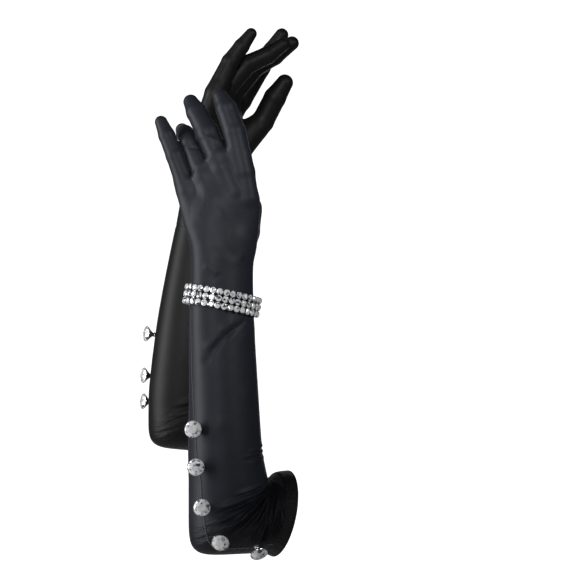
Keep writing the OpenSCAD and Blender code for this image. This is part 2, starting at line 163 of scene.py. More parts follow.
# ---- meshes ----
def mesh_object(name, stand, verts, faces, normals=None, values=None, smooth_faces=True):
    """A mesh object from glove-frame points. faces is an array or a list of index rows."""
    mesh = bpy.data.meshes.new(name)
    co = stand.place(verts)
    rows = [list(f)[::-1] for f in faces] if stand.mirrored else [list(f) for f in faces]
    mesh.from_pydata(co.tolist(), [], rows)
    mesh.polygons.foreach_set("use_smooth", np.full(len(rows), smooth_faces))
    for key, (kind, domain, data) in (values or {}).items():
        layer = mesh.attributes.new(key, kind, domain)
        field = "vector" if kind == "FLOAT_VECTOR" else "value"
        layer.data.foreach_set(field, np.ascontiguousarray(data, np.float32).ravel())
    if normals is not None:
        mesh.normals_split_custom_set_from_vertices(unit(stand.turn(normals)).tolist())
    mesh.update()
    piece = bpy.data.objects.new(name, mesh)
    bpy.context.scene.collection.objects.link(piece)
    return piece


def join_parts(parts):
    """One (points, faces) pair from several."""
    points, faces, base = [], [], 0
    for p, f in parts:
        points.append(np.asarray(p, float))
        faces += [[i + base for i in row] for row in f]
        base += len(p)
    return np.concatenate(points), faces


def grid_faces(rows, columns, wrap):
    """Quads of a grid of points written row by row."""
    i, j = np.meshgrid(np.arange(rows - 1), np.arange(columns if wrap else columns - 1), indexing="ij")
    k = (j + 1) % columns
    a = i * columns
    b = a + columns
    return np.stack([a + j, a + k, b + k, b + j], -1).reshape(-1, 4)


def rim_edges(faces):
    """Directed edges that only one face uses."""
    f = np.asarray(faces)
    e = np.concatenate([np.stack([f[:, k], f[:, (k + 1) % f.shape[1]]], -1) for k in range(f.shape[1])])
    big = int(f.max()) + 1
    key, back = e[:, 0] * big + e[:, 1], e[:, 1] * big + e[:, 0]
    return e[~np.isin(key, back)]


def thicken(points, normals, faces, wall):
    """A closed cloth shell: the faces, an inner copy wall inside them and a rim round every edge."""
    n = len(points)
    edge = rim_edges(faces)
    rim = np.stack([edge[:, 1], edge[:, 0], edge[:, 0] + n, edge[:, 1] + n], -1)
    both = np.concatenate([points, points - wall * normals])
    return both, np.concatenate([faces, faces[:, ::-1] + n, rim]), np.concatenate([normals, -normals])


def cloth_piece(name, stand, points, normals, faces, values, wall=CLOTH):
    """A named cloth piece from part of a surface, with its own wall, rims and point values."""
    used = np.unique(faces)
    local = np.full(len(points), -1)
    local[used] = np.arange(len(used))
    p, f, n = thicken(points[used], normals[used], local[faces], wall)
    data = {}
    for key, v in values.items():
        kind = "FLOAT_VECTOR" if v.ndim == 2 else "FLOAT"
        data[key] = (kind, "POINT", np.concatenate([v[used], v[used]]))
    return mesh_object(name, stand, p, f, n, data)


# ---- the arm's run, shared by the sleeve and the hand ----
# z, centre x, centre y, half width, half thickness and turn about -Z.
FOREARM = [
    (33, -51.5, 0, 37, 33.5, 0), (45, -53, 0, 35.8, 33, 0), (60, -54.5, 0, 34.5, 32.4, 0),
    (110, -55.9, 0, 32.4, 29, 0), (190, -58, 0, 30.2, 23.6, 0), (225, -57.6, -0.3, 29.1, 20.9, 2),
    (243, -57.4, -1, 29.5, 20, 10)]
ARMS = {
    "left": FOREARM + [
        (270, -58.5, 0, 35, 17, 20), (292, -60.5, 1, 37.5, 15.5, 28),
        (303.5, -63.5, 2.5, 37, 13.5, 33.4), (325, -66.5, 5, 35, 10.5, 35)],
    "right": FOREARM + [
        (275, -57.5, 0, 35, 17, 28), (302, -55.5, 0, 37.5, 15.5, 40),
        (327, -53, 0.5, 37, 13.5, 48), (344, -51, 2, 34, 10.5, 50)],
}
# The side seam's angle round the forearm, by height.
SEAM = [(2, 220), (12, 217), (33, 211), (48, 206), (82, 199), (130, 190), (206, 186)]
# How far the right forearm fills out on the little finger's side, by height.
SWELL = [(33, 7), (90, 6.5), (190, 0)]


def fan_length(theta):
    """From the crook to the elbow's outside: a box with rounded corners."""
    wide, high = ELBOW_BOX
    p = ELBOW_POWER
    return ((abs(math.cos(theta)) / wide) ** p + (abs(math.sin(theta)) / high) ** p) ** (-1 / p)


def arm_rings(side):
    """Rings from above the bracelet to the hem: centre, direction outwards, half width, half depth,
    seam angle, zone (0 forearm, 1 elbow, 2 sleeve) and fill."""
    rings = []
    for z in np.arange(CUFF_TOP, 33, -1.5):
        cx, cy, a, b, _ = curve(np.array([z]), ARMS[side])[0]
        tuck = 0.35 * smooth((z - HAND_FROM + 1.5) / 1.5)
        fill = float(curve(np.array([z]), SWELL)[0, 0]) if side == "right" else 0.0
        seam = float(curve(np.array([z]), SEAM)[0, 0])
        rings.append(((cx, cy, z), (-1, 0, 0), a - tuck, b - tuck, seam, 0, fill))
    for theta in np.linspace(FAN_FROM, FAN_TO, 74):
        t = math.radians(theta)
        out = np.array([math.cos(t), math.sin(t)])
        s = (theta - FAN_FROM) / (FAN_TO - FAN_FROM)
        c = CROOK + out * (CROOK_R + fan_length(t)) / 2
        a = (fan_length(t) - CROOK_R) / 2
        b = mix(*ELBOW_DEPTH, smooth(s))
        seam = mix(*ELBOW_SEAM, smooth(s * 1.6))
        fill = SWELL[0][1] * (1 - smooth(1.3 * s)) if side == "right" else 0.0
        rings.append(((c[0], 0, c[1]), (out[0], 0, out[1]), a, b, seam, 1, fill))
    rim_up = np.array([math.sin(RIM_TILT), math.cos(RIM_TILT)])
    rim_out = np.array([math.cos(RIM_TILT), -math.sin(RIM_TILT)])
    top = CROOK - CROOK_R * rim_up
    low = CROOK - fan_length(math.radians(FAN_TO)) * rim_up
    rim = RIM_R + 0.5 - HEM_TAPER
    end = -(HEM_W - 1.0) * rim_out
    for s in np.linspace(0, 1, 10)[1:]:
        high, deep = mix(top, end + rim * rim_up, s), mix(low, end - rim * rim_up, s)
        c, d = (high + deep) / 2, deep - high
        e = unit(d)
        b = mix(ELBOW_DEPTH[1], rim, smooth(s))
        rings.append(((c[0], 0, c[1]), (e[0], 0, e[1]), np.linalg.norm(d) / 2, b, ELBOW_SEAM[1], 2, 0.0))
    return rings


# Folds that run from the crook across the elbow: end angle, drift near the crook, width and height,
# and the stretch of the way from the crook to the outside that each takes.
FOLDS = [
    (192, 2, 2.4, 1.8, 0.08, 0.60), (196.5, 3, 1.8, -2.0, 0.10, 0.72), (201, 3, 2.2, 3.5, 0.06, 0.85),
    (205.5, 6, 1.5, -3.0, 0.08, 0.90), (209, 8, 1.6, 3.0, 0.10, 0.95), (212.5, 9, 1.4, -2.5, 0.12, 0.92),
    (216.5, 10, 1.6, 3.2, 0.12, 0.96), (221, 9, 1.6, -3.0, 0.12, 0.92), (225.5, 8, 1.5, 2.8, 0.10, 0.86),
    (230, 8, 1.6, -2.2, 0.10, 0.76), (236, 6, 1.9, 2.2, 0.10, 0.80), (242, 5, 1.8, -2.0, 0.08, 0.80),
    (247, 4, 1.7, 2.4, 0.06, 0.84), (252, 4, 1.8, -2.1, 0.06, 0.86), (257, 5, 1.7, 2.4, 0.06, 0.92),
    (262.5, 4, 2.0, -2.0, 0.06, 0.86), (268, 3, 1.7, 2.2, 0.05, 0.88), (274, 1, 1.9, -1.6, 0.05, 0.80),
    (280, -2, 1.7, 1.5, 0.05, 0.72),
]
# Folds that lie elsewhere on the arm: two ends as x and z, width and height.
CREASES = [
    ((-17, 66), (-44, 60.5), 1.5, 1.3), ((-15, 63.5), (-42, 58.5), 1.1, -1.7),
    ((-15, 61), (-48, 56), 1.3, 1.5), ((-15, 58.5), (-50, 53.5), 1.2, -1.6),
    ((-16, 55.5), (-44, 50), 1.8, 1.1), ((-40, 181), (-54, 172), 2.2, -1.0),
    ((-50, 175), (-66, 163), 2.4, -1.5), ((-62, 167), (-76, 151), 2.8, -1.4),
    ((-72, 156), (-81, 138), 3.2, -1.0), ((-52, 182), (-70, 168), 3.5, 1.0),
    ((-68, 170), (-80, 152), 3.5, 0.9), ((-24, 176), (-52, 160), 5.0, 0.5),
    ((-30, 120), (-50, 108), 7.0, 0.5), ((-62, 96), (-82, 70), 6.0, 0.6),
]


def segment_distance(x, z, a, b):
    """Distance from points to a segment in the XZ plane, and how far along it they are."""
    d = np.subtract(b, a)
    t = np.clip(((x - a[0]) * d[0] + (z - a[1]) * d[1]) / (d @ d), 0, 1)
    return np.hypot(x - a[0] - t * d[0], z - a[1] - t * d[1]), t


def arm_folds(p, depth):
    """Height of the folds at points on the arm. depth is the half depth of the arm there; a fold is
    a Gaussian ridge exp(-(d / width)^2) that fades out at both ends and round the sides."""
    dx, dz = p[..., 0] - CROOK[0], p[..., 2] - CROOK[1]
    reach = np.hypot(dx, dz)
    angle = np.degrees(np.arctan2(dz, dx)) % 360
    share = reach / 80
    back = smooth(0.25 - 1.15 * p[..., 1] / depth)
    palm = smooth(0.1 + 1.1 * p[..., 1] / depth)
    height = np.zeros(p.shape[:-1])
    for end, drift, width, rise, start, stop in FOLDS:
        line = end + drift * (1 - share) + 1.6 * np.sin(reach / 9 + end)
        d = (angle - line) * np.radians(1) * np.maximum(reach, 4)
        fade = smooth((share - start) / 0.2) * smooth((stop - share) / 0.25)
        height += rise * fade * np.exp(-(d / (width * (0.6 + 0.8 * share))) ** 2) * back
        d = (angle + 3 - line) * np.radians(1) * np.maximum(reach, 4)
        height += 0.7 * rise * fade * np.exp(-(d / (width * (0.7 + share))) ** 2) * palm
    for a, b, width, rise in CREASES:
        d, t = segment_distance(p[..., 0], p[..., 2], a, b)
        height += rise * np.exp(-(d / width) ** 2) * smooth(3 * t) * smooth(3 - 3 * t) * back
    return height


def ring_grid(side):
    """The arm's surface on a closed grid: points, normals and values that the cloth needs. A point of
    a ring is centre - out a cos(phi) + Y b sin(phi)."""
    rings = arm_rings(side)
    centre = np.array([r[0] for r in rings])[:, None]
    out = np.array([r[1] for r in rings], float)[:, None]
    a = np.array([r[2] for r in rings])[:, None]
    b = np.array([r[3] for r in rings])[:, None]
    seam = np.array([r[4] for r in rings])[:, None]
    fill = np.array([r[6] for r in rings])[:, None]
    back = mix(seam, 360.0, np.linspace(0, 1, BACK_COLUMNS + 1)[None, :-1])
    palm = mix(0.0, seam, np.linspace(0, 1, BACK_COLUMNS + 9)[None, :-1])
    phi = np.radians(np.concatenate([back, palm], 1))
    widen = a * np.cos(phi) + fill * np.minimum(0, np.cos(phi))
    p = centre - out * widen[..., None] + np.array([0, 1.0, 0]) * (b * np.sin(phi))[..., None]
    n = grid_normals(p, centre)
    p = p + n * arm_folds(p, b)[..., None]
    n = grid_normals(p, centre)
    off = np.degrees(phi) - seam
    off = np.where(off > 180, off - 360, off)
    off = np.where(off < -180, off + 360, off)
    arc = np.radians(off) * np.sqrt((a * np.sin(phi)) ** 2 + (b * np.cos(phi)) ** 2)
    dx, dz = p[..., 0] - CROOK[0], p[..., 2] - CROOK[1]
    angle = np.degrees(np.arctan2(dz, dx)) % 360
    reach = np.hypot(dx, dz)
    # The elbow's fan below the forearm: it bumps crushed streaks into the satin and darkens it with painted
    # shade.
    crush_and_painted_shade = smooth((angle - 196) / 26) * smooth((330 - angle) / 30) * np.ones_like(reach)
    crush_and_painted_shade = np.where(p[..., 2] > 33, 0, crush_and_painted_shade)
    fan = np.stack([angle, reach, crush_and_painted_shade], -1)
    return rings, p, n, arc, fan


def grid_normals(p, centre):
    """Outward normals of a closed grid of rings."""
    along = np.gradient(p, axis=0)
    round_ = np.roll(p, -1, 1) - np.roll(p, 1, 1)
    n = unit(np.cross(along, round_))
    return n * np.sign(np.sum(n * (p - centre), -1, keepdims=True).mean())


def arm_pieces(side, stand, looks):
    """The cloth from the bracelet to the hem, as the panels that are sewn together."""
    rings, p, n, arc, fan = ring_grid(side)
    total = p.shape[1]
    zone = np.array([r[5] for r in rings])
    faces = grid_faces(len(rings), total, True)
    row, column = faces[:, 0] // total, faces[:, 0] % total
    face_zone = zone[row + 1]
    on_back = column < BACK_COLUMNS
    flat, flat_n = p.reshape(-1, 3), n.reshape(-1, 3)
    first = flat[faces[:, 0]]
    facing = np.cross(flat[faces[:, 1]] - first, flat[faces[:, 3]] - first)
    inward = np.sum(facing * flat_n[faces[:, 0]], -1) < 0
    faces = np.where(inward[:, None], faces[:, ::-1], faces)
    values = {"seam": arc.ravel(), "fan": fan.reshape(-1, 3)}
    wanted = {
        "forearm_back": (0, True), "forearm_palm": (0, False), "elbow_back": (1, True),
        "elbow_palm": (1, False), "sleeve_back": (2, True), "sleeve_palm": (2, False)}
    made = {}
    for name, (z, back) in wanted.items():
        chosen = faces[(face_zone == z) & (on_back == back)]
        made[name] = cloth_piece(f"{side}_{name}_cloth", stand, flat, flat_n, chosen, values)
        dress(made[name], looks["satin_" + side])
    for name in ("forearm_back", "forearm_palm", "sleeve_back", "sleeve_palm"):
        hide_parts(f"{side}_{name}")
    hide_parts(f"{side}_elbow_fabric")
    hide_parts(f"{side}_elbow_fabric")
    for piece in made.values():
        bend_elbow(piece, stand)
    seam_strip(side, stand, looks, rings, p, n)


def bend_elbow(piece, stand):
    """Bakes a piece's placement into its points. The stretch across the elbow's pivot is worked out but not
    used.
    """
    pivot = np.array([-52.0, 0, 2])
    across = 34 * np.array([-math.sqrt(0.5), 0, math.sqrt(0.5)])
    start, end = stand.place(pivot - across), stand.place(pivot + across)
    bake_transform(piece)


def seam_strip(side, stand, looks, rings, p, n):
    """The narrow overlocked strip that lies on the side seam from the hem up to the bracelet."""
    last = len(rings) - 1
    first = next(i for i, r in enumerate(rings) if r[0][2] < HAND_FROM - 2)
    profile = [(-1.0, -0.3), (-0.75, 0.28), (-0.3, 0.55), (0.3, 0.55), (0.75, 0.28), (1.0, -0.3)]
    points = []
    for i in range(first, last + 1):
        middle, normal = p[i, 0], n[i, 0]
        side_way = unit(p[i, 1] - p[i, -1])
        side_way = unit(side_way - normal * (side_way @ normal))
        points += [middle + side_way * u + normal * h for u, h in profile]
    count = len(profile)
    rows = last + 1 - first
    faces = grid_faces(rows, count, True).tolist()
    faces += [list(range(count)), [(rows - 1) * count + k for k in range(count)][::-1]]
    strip = mesh_object(f"{side}_seam_strip", stand, np.array(points), faces)
    recalc(strip)
    dress(strip, looks["seam"])
    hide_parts(f"{side}_button_tape")
    bend_elbow(strip, stand)


def recalc(piece):
    """Turns a closed mesh's faces outwards."""
    bm = bmesh.new()
    bm.from_mesh(piece.data)
    bmesh.ops.recalc_face_normals(bm, faces=bm.faces)
    bm.to_mesh(piece.data)
    bm.free()


def hem_piece(side, stand, looks):
    """The folded hem: a soft band round the arm opening with a stitched line and slight gathers."""
    out = np.array([math.cos(RIM_TILT), 0, -math.sin(RIM_TILT)])
    up = np.array([math.sin(RIM_TILT), 0, math.cos(RIM_TILT)])
    across = np.array([0, 1.0, 0])
    profile = [
        (-12.0, 0.3), (-11.6, 0.75), (-10.6, 0.95), (-8.6, 1.0), (-6.5, 1.05), (-4, 1.1), (-2.7, 1.1),
        (-2.2, 0.7), (-1.7, 1.15), (-0.9, 1.35), (-0.3, 1.2), (0, 0.8), (-0.1, 0.4), (-0.6, 0.12),
        (-3, 0.05), (-6, 0.05), (-9, 0.05), (-11.4, 0.02), (-12.0, 0.0)]
    count = 288
    psi = np.linspace(0, 2 * math.pi, count, endpoint=False)[:, None]
    x = np.array([q[0] for q in profile])[None]
    r = np.array([q[1] for q in profile])[None]
    wave = 0.12 * np.sin(23 * psi) + 0.1 * np.sin(37 * psi + 1.3)
    puff = np.exp(-((x + 5.5) / 3.6) ** 2) * (r > 0.6)
    radius = RIM_R + r + wave * puff - HEM_TAPER * (-x / HEM_W) ** 1.5
    p = (x[..., None] * out + (radius * np.cos(psi))[..., None] * across
         + (radius * np.sin(psi))[..., None] * up)
    hem = mesh_object(side + "_hem_band", stand, p.reshape(-1, 3), wrap_both(count, len(profile)))
    recalc(hem)
    around = hem.data.attributes.new("fan", "FLOAT_VECTOR", "POINT")
    # The hem's third value, 0.7, darkens it with painted shade in the satin.
    data = np.stack([np.degrees(psi) + 0 * x, 0 * psi + x, 0.7 + 0 * psi * x], -1)
    around.data.foreach_set("vector", data.astype(np.float32).ravel())
    dress(hem, looks["hem_" + side])
    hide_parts(side + "_hem")
    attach(hem, side + "_sleeve")


def wrap_both(rows, columns):
    """Quads of a grid that closes both ways."""
    i, j = np.meshgrid(np.arange(rows), np.arange(columns), indexing="ij")
    a, b, k = i * columns, (i + 1) % rows * columns, (j + 1) % columns
    return np.stack([a + j, a + k, b + k, b + j], -1).reshape(-1, 4)


# ---- hands ----
# Each finger's knuckle, first joint, second joint and tip, where the CAD has its joints, and the
# radius of the cloth at each of them.
HAND_FINGERS = {
    "left": [
        ((-41, -12, 316), (-48, -7, 353), (-54, -1, 375), (-60, 8, 392), (10.6, 10.5, 9.6, 7.0)),
        ((-57, -3, 320), (-69, 9, 353), (-76, 21, 373), (-80, 34, 388), (10.8, 10.7, 9.4, 7.0)),
        ((-72, 7, 312), (-82, 21, 344), (-80, 43, 354), (-78, 63, 361), (10.2, 9.2, 8.3, 6.4)),
        ((-85, 17, 300), (-96, 23, 332), (-102, 29, 351), (-108, 35, 369), (10.0, 8.3, 7.7, 5.9))],
    "right": [
        ((-28, -22, 332), (-14, -15, 368), (-6, -10, 387), (4, -3, 411), (10.4, 10.0, 9.3, 7.0)),
        ((-46, -6, 332), (-27, 3, 366), (-9, 10, 380), (11, 19, 400), (10.8, 10.6, 9.6, 7.2)),
        ((-60, 8, 332), (-39, 17, 366), (-21, 24, 378), (-3, 32, 395), (10.4, 9.9, 9.0, 6.8)),
        ((-71, 21, 331), (-60, 24, 365), (-51, 27, 382), (-41, 32, 401), (10.8, 8.9, 7.9, 5.9))],
}
THUMBS = {
    "left": ((-32, 3, 262), (-25, 17, 286), (-26, 33, 309), (-30, 45, 327), 10.2),
    "right": ((-37, -9.5, 276), (-9, -2, 312), (-1, 5, 338), (9, 13, 362), 11.8),
}
# The ball of the thumb: two points and their radii.
THENAR = {
    "left": ((-40, 2, 250), (-28, 14, 282), 14.0, 12.5),
    "right": ((-45, -6, 255), (-16, -5, 303), 15.0, 13.0),
}
# Points where the palm ends: beside the index finger, between each two fingers, beside the little one.
CROTCHES = {
    "left": ((-40, -12, 334), (-54, -3, 336), (-68.7, 7, 327.5), (-80.3, 13.5, 311.5), (-88, 18, 308)),
    "right": ((-26, -18, 347), (-29.4, -10.4, 348), (-44.6, 4.8, 347), (-59.8, 16.6, 344), (-72, 22, 340)),
}
# Half thickness of the palm at its finger end.
PALM_END = 9.4
# Direction of the palm at the knuckles, in degrees from +X about +Z.
PALM_TURN = {"left": 56.6, "right": 42.0}
# Creases on the side that the camera sees: two ends as x and z, width and height. A negative height
# is a groove.
HAND_CREASES = {
    "left": [
        ((-60, 262), (-30, 252), 7.0, 0.6), ((-78, 254), (-46, 236), 6.0, -0.8),
        ((-82, 266), (-60, 282), 7.0, 0.7), ((-46, 238), (-30, 226), 3.0, -0.6),
        ((-80, 232), (-66, 222), 4.0, 0.8), ((-80, 350), (-62, 344), 2.4, 0.7),
        ((-92, 340), (-74, 337), 1.8, -0.6)],
    "right": [
        ((-58, 352), (-34, 344), 1.6, -2.2), ((-52, 346), (-30, 339), 1.5, 2.0),
        ((-50, 341), (-28, 334), 1.5, -2.5), ((-48, 336), (-30, 328), 1.5, 2.0),
        ((-44, 330), (-26, 324), 1.5, -2.2), ((-34, 362), (-16, 372), 1.6, -1.5),
        ((-26, 306), (-16, 326), 1.6, -2.4), ((-22, 302), (-12, 324), 1.5, 2.0),
        ((-18, 300), (-8, 320), 1.5, -2.2), ((-14, 322), (-6, 330), 1.5, 1.7),
        ((-70, 340), (-52, 350), 1.8, -1.4), ((-40, 354), (-22, 350), 1.7, 1.7)],
}


def chain_distance(p, nodes):
    """Distance to a round chain of (point, radius) nodes: the least over its tapered links."""
    best = None
    for (a, ra), (b, rb) in zip(nodes, nodes[1:]):
        a = np.asarray(a, p.dtype)
        d = (np.asarray(b, p.dtype) - a)
        t = np.clip((p - a) @ d / (d @ d), 0, 1)
        v = np.linalg.norm(p - a - t[:, None] * d, axis=1) - (ra + (rb - ra) * t)
        best = v if best is None else join(best, v, 1.6)
    return best


def join(a, b, k):
    """Least of two distances, rounded over a band of k: a fillet where two surfaces meet."""
    h = np.clip(0.5 + 0.5 * (b - a) / k, 0, 1)
    return b + (a - b) * h - k * h * (1 - h)


def finger_nodes(finger):
    """A finger's round chain: a full base, a slightly slimmer end and a rounded tip."""
    k, p, d, t, (rk, rp, rd, rt) = finger
    k, p, d, t = (np.array(q, float) for q in (k, p, d, t))
    root = k - 24 * unit(p - k)
    return [(root, 7.5), (k, rk), (p, rp), (d, rd), (t - rt * unit(t - d), rt)]


def palm_field(p, side):
    """Distance to the palm's loft of ellipses, capped by the line of the knuckles."""
    s = curve(p[:, 2], ARMS[side]).astype(p.dtype)
    turn = np.radians(s[:, 4])
    dx, dy = p[:, 0] - s[:, 0], p[:, 1] - s[:, 1]
    u = dx * np.cos(turn) - dy * np.sin(turn)
    v = dx * np.sin(turn) + dy * np.cos(turn)
    g = math.radians(PALM_TURN[side])
    row = sorted((float(q[0] * math.sin(g) - q[1] * math.cos(g)), q[2]) for q in CROTCHES[side])
    line = p[:, 0] * math.sin(g) - p[:, 1] * math.cos(g)
    cap = p[:, 2] - np.interp(line, [q[0] for q in row], [q[1] for q in row])
    half = mix(s[:, 3], PALM_END, smooth((cap + 50) / 46))
    k0 = np.sqrt((u / s[:, 2]) ** 2 + (v / half) ** 2)
    k1 = np.sqrt((u / s[:, 2] ** 2) ** 2 + (v / half ** 2) ** 2)
    body = k0 * (k0 - 1) / np.maximum(k1, 1e-4)
    return -join(-body, -cap, 5.0), v


def hand_field(p, side):
    """Distance to the whole hand's outer surface."""
    palm, depth = palm_field(p, side)
    a, b, ra, rb = THENAR[side]
    palm = join(palm, chain_distance(p, [(a, ra), (b, rb)]), 9.0)
    fingers = None
    for finger in HAND_FINGERS[side]:
        v = chain_distance(p, finger_nodes(finger))
        fingers = v if fingers is None else join(fingers, v, 1.4)
    whole = join(palm, fingers, 6.0)
    w, m, i, t, r = THUMBS[side]
    end = np.array(t, float) - 0.74 * r * unit(np.subtract(t, i))
    thumb = chain_distance(p, [(w, r + 1.0), (m, r), (i, r * 0.97), (end, r * 0.74)])
    whole = join(whole, thumb, 5.0)
    front = smooth(0.6 - depth / 8)
    for a, b, width, rise in HAND_CREASES[side]:
        gap, t = segment_distance(p[:, 0], p[:, 2], a, b)
        whole = whole - rise * np.exp(-(gap / width) ** 2) * smooth(4 * t) * smooth(4 - 4 * t) * front
    return whole


def surface_net(field, low, high, cell):
    """Quads of the surface field = 0: one point in each grid cell that it crosses, at the mean of
    the crossings on the cell's edges, and one quad round each crossed grid edge."""
    axes = [np.arange(l, h + cell, cell, dtype=np.float32) for l, h in zip(low, high)]
    shape = tuple(len(a) for a in axes)
    f = np.empty(shape, np.float32)
    yz = np.stack(np.meshgrid(axes[1], axes[2], indexing="ij"), -1).reshape(-1, 2)
    for i in range(0, shape[0], 16):
        xs = axes[0][i:i + 16]
        block = np.concatenate([np.repeat(xs, len(yz))[:, None], np.tile(yz, (len(xs), 1))], 1)
        f[i:i + len(xs)] = field(block).reshape(len(xs), shape[1], shape[2])
    inside = f < 0
    corners = np.array([(a, b, c) for a in (0, 1) for b in (0, 1) for c in (0, 1)])
    cells = tuple(s - 1 for s in shape)
    count = sum(inside[a:a + cells[0], b:b + cells[1], c:c + cells[2]].astype(np.int8)
                for a, b, c in corners)
    active = np.argwhere((count > 0) & (count < 8))
    number = np.full(cells, -1, np.int64)
    number[tuple(active.T)] = np.arange(len(active))
    total, hits = np.zeros((len(active), 3)), np.zeros(len(active))
    for a in corners:
        for axis in range(3):
            if a[axis]:
                continue
            b = a.copy()
            b[axis] = 1
            fa, fb = f[tuple((active + a).T)], f[tuple((active + b).T)]
            cross = (fa < 0) != (fb < 0)
            t = np.where(cross, fa / np.where(cross, fa - fb, 1), 0)
            total += cross[:, None] * (a + t[:, None] * (b - a))
            hits += cross
    points = (active + total / hits[:, None]) * cell + np.array([a[0] for a in axes])
    quads = []
    for axis in range(3):
        u, v = (axis + 1) % 3, (axis + 2) % 3
        step = np.eye(3, dtype=int)
        lower = np.take(inside, range(shape[axis] - 1), axis)
        upper = np.take(inside, range(1, shape[axis]), axis)
        edges = np.argwhere(lower != upper)
        edges = edges[(edges[:, u] > 0) & (edges[:, v] > 0)
                      & (edges[:, u] < shape[u] - 1) & (edges[:, v] < shape[v] - 1)]
        ring = [edges - step[u] - step[v], edges - step[v], edges, edges - step[u]]
        quad = np.stack([number[tuple(r.T)] for r in ring], -1)
        outward = inside[tuple(edges.T)]
        quads.append(np.where(outward[:, None], quad, quad[:, ::-1]))
    return points, np.concatenate(quads)


def field_gradient(p, side, h=0.25):
    """Field and gradient by central differences."""
    g = np.stack([hand_field(p + h * e, side) - hand_field(p - h * e, side) for e in np.eye(3)], -1)
    return hand_field(p, side), g / (2 * h)


def settle(points, faces, side, rounds):
    """Evens out the mesh and puts its points back on the surface."""
    edge = np.concatenate([faces[:, [0, 1]], faces[:, [1, 2]], faces[:, [2, 3]], faces[:, [3, 0]]])
    for _ in range(rounds):
        total = np.stack([
            np.bincount(edge[:, 0], points[edge[:, 1], k], len(points))
            + np.bincount(edge[:, 1], points[edge[:, 0], k], len(points)) for k in range(3)], -1)
        count = np.bincount(edge.ravel(), minlength=len(points))[:, None]
        points = mix(points, total / np.maximum(count, 1), 0.5)
        f, g = field_gradient(points, side)
        points = points - np.clip(f, -1.5, 1.5)[:, None] * g / np.sum(g * g, -1, keepdims=True)
    f, g = field_gradient(points, side)
    points = points - np.clip(f, -1, 1)[:, None] * g / np.sum(g * g, -1, keepdims=True)
    return points, unit(field_gradient(points, side)[1])


def hand_surface(side):
    """The hand's points, quads and normals, cut level where the forearm's cloth meets it."""
    chains = np.array([q for f in HAND_FINGERS[side] for q in f[:4]] + list(THUMBS[side][:4]), float)
    low = np.minimum(chains.min(0) - 13, (-98, -28, 0))
    high = np.maximum(chains.max(0) + 13, (-20, 28, 0))
    low[2] = HAND_FROM - 4
    cell = 1.25
    points, faces = surface_net(lambda p: hand_field(p, side), low, high, cell)
    points, normals = settle(points, faces, side, 3)
    keep = (points[faces][:, :, 2] > HAND_FROM).any(1)
    faces = faces[keep]
    short = np.unique(faces)
    short = short[points[short, 2] < HAND_FROM]
    points[short, 2] = HAND_FROM
    for _ in range(2):
        f, g = field_gradient(points[short], side)
        g[:, 2] = 0
        points[short] -= f[:, None] * g / np.sum(g * g, -1, keepdims=True)
    normals[short] = unit(field_gradient(points[short], side)[1])
    return points, faces, normals


def finger_span(finger):
    """Where a finger's pieces part: the start and end of its lower bend, and its upper cut."""
    k, p = np.array(finger[0], float), np.array(finger[1], float)
    length = np.linalg.norm(p - k)
    return k, p, unit(p - k), 0.36 * length, 0.72 * length, 0.78 * length


def hand_pieces(side, stand, looks):
    """The hand's cloth split into its named pieces."""
    points, faces, normals = hand_surface(side)
    middle = points[faces].mean(1)
    _, v = palm_field(middle, side)
    label = np.where(v < 0, "hand_back", "hand_palm").astype("<U16")
    _, seam = palm_field(points, side)
    near = np.full(len(middle), 1e3)
    near_point = np.full(len(points), 1e3)
    turn = math.radians(PALM_TURN[side])
    palm = unit(np.array([math.cos(turn), math.sin(turn), 0]))
    for name, finger in zip(FINGERS, HAND_FINGERS[side]):
        k, p, d, cut, _, top = finger_span(finger)
        nodes = finger_nodes(finger)
        own = chain_distance(middle, nodes)
        along = (middle - k) @ d
        mine = (own < near) & (along > cut)
        label[mine] = name + "_base"
        label[mine & (along > top)] = name + "_tip"
        near = np.where(along > cut, np.minimum(own, near), near)
        own = chain_distance(points, nodes)
        across = unit(palm - (palm @ d) * d)
        beyond = (points - k) @ d > cut - 2
        seam = np.where((own < near_point) & beyond, chain_side(points, nodes, across), seam)
        near_point = np.where(beyond, np.minimum(own, near_point), near_point)
    w, m, i, t, r = (np.array(q, float) for q in THUMBS[side])
    d, run = unit(i - m), unit(m - w)
    own = chain_distance(middle, [(m, r), (i, r * 0.97), (t, r * 0.6)])
    along = (middle - m) @ d
    mine = (own < near) & (along > -8) & (own < 4)
    gusset = chain_distance(middle, [(w, r + 1.0), (m, r)]) < 0.8
    label[gusset & ((middle - w) @ run > -4) & (label == "hand_palm")] = "thumb_gusset"
    label[mine] = "thumb_base"
    label[mine & (along > 0.56 * np.linalg.norm(i - m))] = "thumb_tip"
    values = {"seam": seam, "fan": np.zeros((len(points), 3))}
    for name in sorted(set(label.tolist())):
        piece = cloth_piece(f"{side}_{name}_cloth", stand, points, normals, faces[label == name], values)
        dress(piece, looks["satin_" + side])
        nodes = [f"{side}_{name}"] + ([side + "_wrist_fabric"] if name in ("hand_back", "hand_palm") else [])
        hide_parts(*nodes)
        bend_hand_piece(piece, name, side, stand)


def chain_side(p, nodes, across):
    """How far points lie on the palm's side of a chain's middle."""
    best, value = None, None
    for (a, _), (b, _) in zip(nodes, nodes[1:]):
        d = b - a
        t = np.clip((p - a) @ d / (d @ d), 0, 1)
        off = p - a - t[:, None] * d
        gap = np.linalg.norm(off, axis=1)
        run = unit(d)
        way = unit(across - (across @ run) * run)
        v = off @ way
        value = v if best is None else np.where(gap < best, v, value)
        best = gap if best is None else np.minimum(gap, best)
    return value


